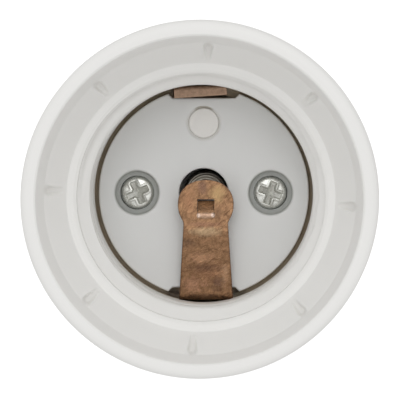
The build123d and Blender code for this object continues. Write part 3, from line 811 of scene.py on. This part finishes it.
strip_line = rounded_profile(
    [
        (PAD_Y, PAD_MID, 0, 0.2),
        (WINDOW_LOW, PAD_MID, 0, 0.25),
        (CREASE_Y, PAD_MID, 3.0, 0.5),
        (ROOT_Y, ROOT_MID, 0.9, 1.0),
        (ROOT_Y, FOOT_MID, 0.9, 0.6),
        (FOOT_END, FOOT_MID, 0, 1.0),
    ]
)
tip_angle = np.linspace(math.pi / 2, 0.0, 40)[:-1]
tip_y = PAD_Y + PAD_REACH * np.sin(tip_angle)
tip_y = np.sort(np.append(tip_y, [WINDOW_HIGH]))[::-1]
strip_line = np.concatenate([np.stack([tip_y, np.full_like(tip_y, PAD_MID)], 1), strip_line])
row_y = strip_line[:, 0]
reach_y = np.where(row_y > PAD_Y, PAD_REACH, PAD_R)
fullness = np.where(row_y > PAD_Y, 2.25, 2.0)
round_share = 1 - np.abs((row_y - PAD_Y) / reach_y) ** fullness
round_half = PAD_R * np.maximum(round_share, 0.0) ** (1 / fullness)
straight_half = NECK_HALF + (ROOT_HALF - NECK_HALF) * (NECK_Y - row_y) / (NECK_Y - ROOT_Y)
softness = 0.12
blend_half = softness * np.log(np.exp(round_half / softness) + np.exp(straight_half / softness))
row_half = np.where(row_y > PAD_Y - 1.0, round_half, blend_half)
row_half = np.maximum(row_half, 0.02)
inner = np.minimum(WINDOW_HALF, row_half * 0.6)
outer_share = np.linspace(0, 1, 9)
left = -row_half[:, None] + (row_half - inner)[:, None] * outer_share
middle = -inner[:, None] + 2 * inner[:, None] * np.linspace(0, 1, 9)[1:-1]
across = np.concatenate([left, middle, -left[:, ::-1]], 1)
strip_grid = sheet_grid(strip_line, across)
first_row = int(np.argmin(np.abs(row_y - WINDOW_HIGH)))
last_row = int(np.argmin(np.abs(row_y - WINDOW_LOW)))
window_left = len(outer_share) - 1
window_right = across.shape[1] - len(outer_share)
tab_line = rounded_profile(
    [
        (WINDOW_LOW, PAD_MID, 0, 0.2),
        (WINDOW_LOW + 0.55, PAD_MID + 0.22, 0.5, 0.1),
        (WINDOW_LOW + 1.2, PAD_MID - 0.1, 0.5, 0.1),
        (WINDOW_LOW + 2.75, PAD_MID - 1.4, 0, 0.2),
    ]
)
tab_half = np.where(np.arange(len(tab_line)) > 0, WINDOW_HALF - TAB_GAP, WINDOW_HALF)
tab_grid = sheet_grid(tab_line, tab_half[:, None] * np.linspace(-1, 1, 9))
centre_strip = skin_mesh(
    "centre_strip",
    [
        strip_grid[: first_row + 1],
        strip_grid[first_row : last_row + 1, : window_left + 1],
        strip_grid[first_row : last_row + 1, window_right:],
        strip_grid[last_row:],
        tab_grid,
    ],
)


def thicken(piece, thickness, edge):
    """Gives a sheet its thickness, half on each side, and rounds its cut edges a little."""
    wall = piece.modifiers.new("thickness", "SOLIDIFY")
    wall.thickness = thickness * MM
    wall.offset = 0.0
    wall.use_even_offset = True
    round_over = piece.modifiers.new("edges", "BEVEL")
    round_over.width = edge * MM
    round_over.segments = 3
    round_over.limit_method = "ANGLE"
    round_over.angle_limit = math.radians(50.0)


# how near each point is to the strip's cut edge, for the darker line there
spots = point_spots(centre_strip)
front_rows = slice(0, int(np.argmin(row_y)) + 1)
half_here = np.interp(-spots[:, 1], -row_y[front_rows], row_half[front_rows])
to_edge = half_here - np.abs(spots[:, 0] - STRIP_X)
keep_on_points(centre_strip, "cut_edge", np.clip(1 - to_edge / CUT_EDGE, 0, 1))
thicken(centre_strip, SHEET, 0.09)
copper = worn_metal(
    "tarnished_copper",
    (0.555, 0.313, 0.167),
    (0.165, 0.085, 0.042),
    0.72,
    0.34,
    950.0,
    streak=7.0,
    lean=-38.0,
    bump_height=0.0005,
)
for colour, strength, centre, size, ragged in (
    ((0.24, 0.135, 0.09), 0.8, (-0.1, 1.0, PAD_MID), (1.0, 1.5, 1.0), 0.4),
    # painted highlight on the pad's right
    ((0.56, 0.375, 0.18), 0.7, (2.3, 0.0, PAD_MID), (1.5, 1.7, 1.0), 0.5),
    ((0.46, 0.24, 0.13), 0.6, (-2.4, -1.4, PAD_MID), (1.2, 2.2, 1.0), 0.5),
    # painted highlight along the crease
    ((0.64, 0.45, 0.27), 0.75, (0.4, CREASE_Y - 0.3, PAD_MID), (3.0, 0.9, 1.5), 0.5),
    ((0.33, 0.17, 0.105), 0.65, (0.2, -5.1, PAD_MID), (3.2, 0.5, 1.0), 0.5),
    ((0.16, 0.09, 0.05), 0.6, (2.4, -3.2, PAD_MID), (0.7, 1.3, 1.0), 0.4),
    ((0.42, 0.21, 0.12), 0.4, (1.0, -13.0, ROOT_MID + 0.8), (3.4, 2.0, 2.0), 0.6),
    ((0.74, 0.42, 0.25), 0.55, (-0.4, -10.6, 26.0), (2.0, 0.9, 2.0), 1.2),
    ((0.74, 0.41, 0.26), 0.6, (-1.7, -15.2, 25.0), (1.7, 1.3, 2.0), 1.2),
    ((0.74, 0.46, 0.28), 0.6, (3.5, -13.4, 25.5), (0.6, 1.9, 2.0), 1.0),
    ((0.15, 0.08, 0.05), 0.6, (0.1, -12.3, 25.7), (2.9, 0.7, 2.0), 1.2),
    ((0.18, 0.105, 0.08), 0.6, (2.4, -14.9, 25.1), (1.1, 1.2, 2.0), 1.2),
    ((0.15, 0.09, 0.06), 0.5, (-2.6, -8.2, 26.7), (1.4, 0.8, 2.0), 1.2),
    # painted shade where the root bends down over the plate's edge
    ((0.13, 0.075, 0.045), 0.55, (0.4, -17.1, 24.4), (4.6, 0.45, 2.0), 0.6),
    # the tab's face painted lighter, as painted light against the shade of the window's edges
    ((0.50, 0.26, 0.12), 0.9, (STRIP_X, WINDOW_LOW + 2.0, PAD_MID - 0.9), (1.7, 1.3, 0.65), 0.1),
    # painted highlight on the lip's bend, and brighter painted highlights at its two ends
    ((0.66, 0.43, 0.30), 0.95, (STRIP_X, LIP_Y, PAD_MID + 0.5), (1.8, 0.75, 0.45), 0.1),
    ((0.93, 0.72, 0.60), 0.9, (STRIP_X - 1.2, LIP_Y, PAD_MID + 0.45), (0.4, 0.5, 0.45), 0.1),
    ((0.93, 0.72, 0.60), 0.9, (STRIP_X + 1.2, LIP_Y + 0.1, PAD_MID + 0.45), (0.45, 0.55, 0.45), 0.1),
):
    colour_patch(copper, colour, strength, centre, size, ragged)
tint_by(copper, "cut_edge", (0.12, 0.07, 0.045), 2.5)
centre_strip.data.materials.append(copper)
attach(centre_strip, "centre_strip")
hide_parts("centre_contact")


# Contact spring: a coil of plain steel wire with flattened ends, standing in the cup of the floor
# and pressing up under the pad, towards which it narrows.
SPRING_R = 3.4
SPRING_TAPER = 1.0
WIRE_R = 0.3
SPRING_TOP = 26.97
SPRING_TURNS = 5.5
turn = np.linspace(0, SPRING_TURNS, int(SPRING_TURNS * 44) + 1)[:, None]
wire = np.linspace(0, 2 * np.pi, 13)
narrowed = np.clip(turn / SPRING_TURNS * 2.0 - 1.0, 0, 1)
coil_r = SPRING_R - SPRING_TAPER * narrowed + WIRE_R * np.cos(wire)
coil_z = FLOOR_Z + (SPRING_TOP - FLOOR_Z) * turn / SPRING_TURNS + WIRE_R * np.sin(wire)
coil = np.stack(
    [
        SPRING_AT[0] + coil_r * np.cos(2 * np.pi * turn),
        SPRING_AT[1] + coil_r * np.sin(2 * np.pi * turn),
        np.clip(coil_z, FLOOR_Z, SPRING_TOP),
    ],
    2,
)
ends = [np.ones((1, len(wire), 1)) * coil[k, :-1].mean(0) for k in (0, -1)]
coil = np.concatenate([ends[0], coil, ends[1]])
spring = skin_mesh("coil_spring", [coil])
spring.data.materials.append(
    worn_metal("spring_steel", (0.36, 0.34, 0.30), (0.20, 0.18, 0.15), 0.85, 0.35, 900.0)
)
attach(spring, "adapter")
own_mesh(spring)
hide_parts("contact_spring")


# Side contact: a short copper strip that stands in its floor slot and turns in over the notch. It
# leans out a little, and its top is wider on the left and cut aslant.
SIDE_HALF = 4.2
SIDE_TOP = 24.98
SIDE_LIP = 1.78
SIDE_FLARE = 0.35
SIDE_LEAN = 0.32
SIDE_SLANT = 0.05
side_line = rounded_profile(
    [
        (-SHEET / 2, FLOOR_Z + 0.1, 0, 1.0),
        (-SHEET / 2, SIDE_TOP - SHEET / 2, 0.45, 0.3),
        (-SIDE_LIP, SIDE_TOP - SHEET / 2, 0, 0.3),
    ]
)
side_in = side_line[:, :1]
side_z = side_line[:, 1:]
flare = SIDE_FLARE * np.clip((side_z - 22.8) / 1.2, 0, 1)
share = np.linspace(0, 1, 17)
u = -(SIDE_HALF + flare) + (2 * SIDE_HALF + flare) * share
v = side_in + SIDE_LEAN * np.clip((side_z - 20.0) / 4, 0, 1)
v = v * (1.0 + SIDE_SLANT * (1 - 2 * share) * (side_in < -1.0))
side_strip = skin_mesh("side_strip", [np.stack([*beside_contact(u, v), side_z * np.ones_like(u)], 2)])
thicken(side_strip, SHEET, 0.09)
side_copper = worn_metal(
    "side_copper", (0.60, 0.40, 0.28), (0.34, 0.22, 0.15), 0.5, 0.5, 1400.0, streak=6.0, lean=90.0
)
side_strip.data.materials.append(side_copper)
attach(side_strip, "side_strip")
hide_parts("side_contact")


# Screw shell: thin nickel-plated sheet, rolled into a plain skirt and a rounded right-handed thread,
# with its end turned in around the insulator.
SHELL_PITCH = 3.629
SHELL_CREST = 13.1
SHELL_ROOT = 12.05
SHELL_FLAT = 12.2
SHELL_SKIRT_R = 13.16
SHELL_SHEET = 0.35
SHELL_RUN_Z = -20.2
SHELL_THREAD_Z = SHELL_RUN_Z + SHELL_PITCH / 4
SHELL_RUN_OUT = 2.6
SHELL_RUN_IN = 0.2
SHELL_LENGTH = 21.6
shell_line = rounded_profile(
    [
        (SHELL_SKIRT_R, 0.0, 0, 0.6),
        (SHELL_SKIRT_R, -3.4, 0.25, 0.18),
        (SHELL_FLAT, -4.36, 0.3, 0.17),
        (SHELL_FLAT, SHELL_RUN_Z, 0.5, 0.25),
        (11.1, -SHELL_LENGTH, 0, 0.2),
    ]
)
shell_bearing = np.radians(np.linspace(0, 360, 181))


def rolled_shell(inset):
    """The shell's skin: the plain body or the thread's bulge, whichever is wider.

    The bulge swells over the first part of a turn and is cut by a cone at the run-out.
    """
    radius = shell_line[:, :1] * np.ones_like(shell_bearing)
    z = shell_line[:, 1:] * np.ones_like(shell_bearing)
    part_turn = (shell_bearing % (2 * np.pi)) / (2 * np.pi)
    turns = (z - SHELL_THREAD_Z) / SHELL_PITCH - part_turn
    whole = np.maximum(np.round(turns), 0)
    bulge = knuckle_reach((turns - whole) * SHELL_PITCH, SHELL_CREST, SHELL_ROOT, SHELL_PITCH)
    bulge = np.where(np.abs(turns - whole) < 0.5, bulge, 0)
    run_out = SHELL_ROOT + (z - SHELL_RUN_Z) / SHELL_RUN_OUT * (SHELL_SKIRT_R + 1 - SHELL_ROOT)
    started = eased(np.clip((whole + part_turn) / SHELL_RUN_IN, 0, 1))
    bulge = np.minimum(SHELL_ROOT + (bulge - SHELL_ROOT) * started, run_out)
    radius = np.maximum(radius, bulge) - inset
    return np.stack([radius * np.cos(shell_bearing), radius * np.sin(shell_bearing), z], 2)


outer_skin = rolled_shell(0.0)
inner_skin = rolled_shell(SHELL_SHEET)
shell = skin_mesh("rolled_shell", [np.concatenate([outer_skin, inner_skin[::-1], outer_skin[:1]])])
nickel = worn_metal(
    "nickel_plate", (0.72, 0.70, 0.66), (0.65, 0.63, 0.59), 0.95, 0.30, 60.0, bump_height=0.000002
)
shell.data.materials.append(nickel)
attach(shell, "adapter")
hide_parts("screw_shell")


# Base insulator: a hollow cone moulded in pale plastic. The shell's turned-in end holds it, and the
# pin is pressed through its hub.
TIP_Z = -25.2
insulator_line = rounded_profile(
    [
        (1.33, TIP_Z, 0, 1),
        (5.6, TIP_Z, 0.35, 2),
        (10.65, -21.6, 0.1, 1),
        (11.75, -20.1, 0.2, 1),
        (11.75, -18.6, 0.15, 1),
        (10.25, -18.6, 0.15, 1),
        (9.15, -20.85, 0.5, 2),
        (2.8, -23.7, 0.3, 2),
        (2.8, -20.6, 0.2, 1),
        (1.33, -20.6, 0, 2),
        (1.33, TIP_Z, 0, 1),
    ]
)
insulator_ring = np.radians(np.linspace(0, 360, 97))
insulator = skin_mesh("cone_insulator", [turned_grid(insulator_line, insulator_ring)])
insulator.data.materials.append(
    moulded_plastic("insulator_plastic", (0.76, 0.75, 0.72), 0.96, 0.42, 0.4)
)
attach(insulator, "adapter")
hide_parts("base_insulator")


# Tip contact: a turned brass pin, pressed through the hub from below. Its low domed head touches the
# contact at the bottom of the lamp holder.
PIN_HEAD_R = 4.8
PIN_R = 1.3
PIN_EDGE = 0.4
PIN_DOME = 0.9
PIN_TOP = -19.7
pin_low = rounded_profile(
    [
        (PIN_HEAD_R, TIP_Z - PIN_EDGE, 0.12, 0.4),
        (PIN_HEAD_R, TIP_Z, 0.1, 2),
        (PIN_R, TIP_Z, 0, 2),
        (PIN_R, PIN_TOP, 0.2, 1),
        (0, PIN_TOP, 0, 1),
    ]
)
dome = np.linspace(0, 1, 14)[:-1]
dome_line = np.stack([PIN_HEAD_R * dome, TIP_Z - PIN_EDGE - PIN_DOME * (1 - dome**2)], 1)
pin = skin_mesh("tip_pin", [turned_grid(np.concatenate([dome_line, pin_low]), circle_steps)])
pin_metal = worn_metal(
    "pin_brass", (0.68, 0.54, 0.30), (0.46, 0.35, 0.19), 0.9, 0.33, 300.0, bump_height=0.00002
)
pin.data.materials.append(pin_metal)
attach(pin, "adapter")
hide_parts("tip_contact")


# Leads: stranded copper in soft white insulation, from the contacts through the floor to the pin and
# to the shell. They are soldered to both contacts and to the shell.
LEAD_R = 0.8


def lead_skin(route):
    """A round tube along quadratic spans between the midpoints of the route's runs."""
    route = np.array(route, float)
    middles = (route[:-1] + route[1:]) / 2
    starts = np.concatenate([route[:1], middles[1:-1]])
    stops = np.concatenate([middles[1:-1], route[-1:]])
    bends = route[1:-1]
    share = np.linspace(0, 1, 15)[:, None]
    rest = 1 - share
    line = route[:0]
    for start, bend, stop in zip(starts, bends, stops):
        span = rest**2 * start + 2 * share * rest * bend + share**2 * stop
        line = np.concatenate([line[:-1], span])
    ahead = np.gradient(line, axis=0)
    ahead /= np.linalg.norm(ahead, axis=1, keepdims=True)
    side = np.cross(ahead, np.array([0.31, 0.95, 0.05]))
    side /= np.linalg.norm(side, axis=1, keepdims=True)
    up = np.cross(ahead, side)
    around = np.linspace(0, 2 * np.pi, 17)[None, :, None]
    tube = line[:, None] + LEAD_R * (np.cos(around) * side[:, None] + np.sin(around) * up[:, None])
    closed = [np.ones((1, 17, 1)) * line[k] for k in (0, -1)]
    return np.concatenate([closed[0], tube, closed[1]])


lead_jacket = moulded_plastic("lead_insulation", (0.72, 0.71, 0.67), 0.95, 0.55, 0.5)
tip_route = [
    (0.4, -14.6, 19.6),
    (0.4, -14.6, 16.0),
    (0.4, -7.69, 12.4),
    (0.4, -7.69, 1.0),
    (0.0, 0.0, -12.7),
    (0.0, 0.0, -19.7),
]
shell_route = [
    (-3.12, 15.86, 16.8),
    (-3.0, 13.66, 16.8),
    (-4.74, 6.07, 16.8),
    (-4.74, 6.07, 2.0),
    (-4.74, 6.07, -16.19),
    (-6.7, 8.57, -16.19),
]
tip_lead = skin_mesh("lead_to_tip", [lead_skin(tip_route)])
tip_lead.data.materials.append(lead_jacket)
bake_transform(tip_lead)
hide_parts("tip_lead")
shell_lead = skin_mesh("lead_to_shell", [lead_skin(shell_route)])
shell_lead.data.materials.append(lead_jacket)
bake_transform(shell_lead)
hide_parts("shell_lead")


# Solder joints: small rounded blobs of dull solder under the hook, on the side contact and inside
# the shell.
def solder_skin(base, out, spread=1.3, rise=0.9):
    """Half an ellipsoid standing on a base point and pointing out, with a flat underside."""
    out = np.array(out, float) / np.linalg.norm(out)
    side = np.cross(out, (0.3, 0.2, 0.93))
    side /= np.linalg.norm(side)
    up = np.cross(out, side)
    lift = np.concatenate([[0.0], np.linspace(0, math.pi / 2, 9)])[:, None, None]
    width = spread * np.cos(lift)
    width[0] = 0.0
    round_about = np.linspace(0, 2 * np.pi, 25)[None, :, None]
    flat = np.cos(round_about) * side + np.sin(round_about) * up
    return np.array(base) + width * flat + rise * np.sin(lift) * out


solder_metal = worn_metal("dull_solder", (0.55, 0.55, 0.54), (0.40, 0.40, 0.39), 0.8, 0.4, 800.0)
SHELL_INSIDE_R = 11.78
joint_bearing = math.radians(128.0)
joint_out = np.array([math.cos(joint_bearing), math.sin(joint_bearing), 0.0])
on_shell = joint_out * SHELL_INSIDE_R + (0.0, 0.0, -16.19)
off_side = (math.sin(SIDE_TURN), -math.cos(SIDE_TURN), 0)
for node, body, base, out in (
    ("centre_solder", "centre_strip", (0.4, -14.6, 20.5), (0, 0, -1)),
    ("side_solder", "side_strip", (-3.17, 16.76, 16.8), off_side),
    ("shell_solder", "adapter", on_shell, -joint_out),
):
    blob = skin_mesh("blob_" + node, [solder_skin(base, out)])
    blob.data.materials.append(solder_metal)
    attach(blob, body)
    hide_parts(node)


# Studio: a plain pale floor under the pin, an even pale sky, white where it is seen or mirrored, and
# one broad soft lamp above, towards the side contact.
FLOOR_GLOW = 0.6
FLOOR_HALF = 1.6
SKY = 0.72
LAMP_WATTS = 2.9
LAMP_SIZE = 0.8
studio_z = (TIP_Z - 1.35) * MM
corners = [
    (x * FLOOR_HALF, y * FLOOR_HALF, studio_z) for x, y in ((-1, -1), (1, -1), (1, 1), (-1, 1))
]
floor_mesh = bpy.data.meshes.new("floor")
floor_mesh.from_pydata(corners, [], [(0, 1, 2, 3)])
floor = bpy.data.objects.new("floor", floor_mesh)
bpy.context.scene.collection.objects.link(floor)
floor_paint = bpy.data.materials.new("floor_paint")
floor_paint.use_nodes = True
nodes = floor_paint.node_tree.nodes
links = floor_paint.node_tree.links
matt = nodes["Principled BSDF"]
matt.inputs["Base Color"].default_value = (0.82, 0.82, 0.81, 1.0)
matt.inputs["Roughness"].default_value = 0.9
glow = add_node(nodes, "Emission", {"Strength": FLOOR_GLOW})
seen = add_node(nodes, "LightPath")
dark = add_node(nodes, "Emission", {"Strength": 0.0})
pick = add_node(nodes, "MixShader")
lit = add_node(nodes, "AddShader")
links.new(seen.outputs["Is Camera Ray"], pick.inputs["Fac"])
links.new(dark.outputs["Emission"], pick.inputs[1])
links.new(glow.outputs["Emission"], pick.inputs[2])
links.new(matt.outputs["BSDF"], lit.inputs[0])
links.new(pick.outputs["Shader"], lit.inputs[1])
links.new(lit.outputs["Shader"], nodes["Material Output"].inputs["Surface"])
floor_mesh.materials.append(floor_paint)

world = bpy.data.worlds.new("studio")
bpy.context.scene.world = world
world.use_nodes = True
nodes = world.node_tree.nodes
links = world.node_tree.links
sky = nodes["Background"]
sky.inputs["Color"].default_value = (1.0, 1.0, 1.0, 1.0)
sky.inputs["Strength"].default_value = SKY
white = add_node(nodes, "Background", {"Color": (1.0, 1.0, 1.0, 1.0), "Strength": 1.0})
rays = add_node(nodes, "LightPath")
either = add_node(nodes, "Math", operation="MAXIMUM")
any_ray = add_node(nodes, "Math", operation="MAXIMUM")
choose = add_node(nodes, "MixShader")
links.new(rays.outputs["Is Camera Ray"], either.inputs[0])
links.new(rays.outputs["Is Glossy Ray"], either.inputs[1])
links.new(either.outputs["Value"], any_ray.inputs[0])
links.new(rays.outputs["Is Transmission Ray"], any_ray.inputs[1])
links.new(any_ray.outputs["Value"], choose.inputs["Fac"])
links.new(sky.outputs["Background"], choose.inputs[1])
links.new(white.outputs["Background"], choose.inputs[2])
links.new(choose.outputs["Shader"], nodes["World Output"].inputs["Surface"])

lamp_data = bpy.data.lights.new("soft_lamp", "AREA")
lamp_data.energy = LAMP_WATTS
lamp_data.size = LAMP_SIZE
lamp = bpy.data.objects.new("soft_lamp", lamp_data)
bpy.context.scene.collection.objects.link(lamp)
lamp_place = Vector((0.0, 0.5, 1.2))
lamp_turn = lamp_place.to_track_quat("Z", "Y").to_matrix().to_4x4()
lamp.matrix_world = Matrix.Translation(lamp_place) @ lamp_turn

bpy.context.scene.view_settings.view_transform = "Standard"
